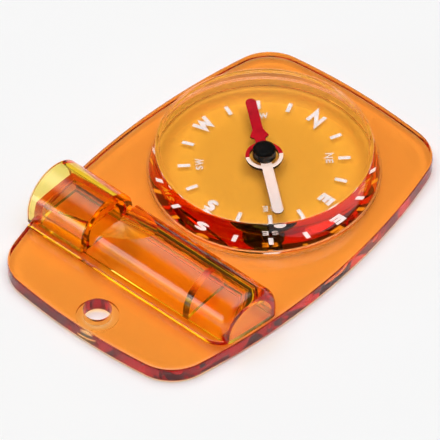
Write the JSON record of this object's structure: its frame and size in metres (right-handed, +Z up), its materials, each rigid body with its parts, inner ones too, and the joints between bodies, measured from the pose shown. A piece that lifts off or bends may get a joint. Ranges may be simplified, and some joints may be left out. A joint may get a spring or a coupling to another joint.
{
  "type": "baseplate compass with whistle",
  "caption": "Clear orange baseplate compass with a round liquid-filled capsule, a red and white needle, a pealess whistle across one end and a lanyard hole.",
  "frame": {"origin": "under the middle of the plate, on its flat underside", "axes": "+Y along the plate towards the dial's north, +X east along the whistle, +Z up out of the dial"},
  "size_m": [0.0504, 0.075, 0.0116],
  "materials": {
    "clear_orange": "clear tinted moulding, polished",
    "clear_plastic": "clear colourless moulding, polished",
    "white_ink": "printed ink",
    "pivot_steel": "ground",
    "blade_steel": "blackened",
    "red_paint": "satin paint",
    "white_paint": "satin paint",
    "ferrite": "matte",
    "jewel": "polished",
    "black_plastic": "satin moulding"
  },
  "bodies": {
    "case": {"base_plate": "clear_orange", "whistle_barrel": "clear_orange", "whistle_fipple": "clear_orange", "chamber_partition": "clear_orange", "capsule_dome": "clear_plastic", "capsule_floor": "clear_orange", "filler_plug": "clear_orange", "dial_ticks": "white_ink", "dial_cardinals": "white_ink", "dial_intercardinals": "white_ink", "pivot_post": "clear_orange", "pivot_pin": "pivot_steel"},
    "needle": {"needle_blade": "blade_steel", "needle_red_coat": "red_paint", "needle_white_coat": "white_paint", "needle_magnet": "ferrite", "jewel_cup": "jewel", "needle_cap": "black_plastic"}
  },
  "joints": [
    {"name": "needle_spin", "type": "hinge", "parent": "case", "child": "needle", "pos_m": [-0.0004, 0.0117, 0.00435], "axis": [0, 0, 1], "continuous": true}
  ]
}
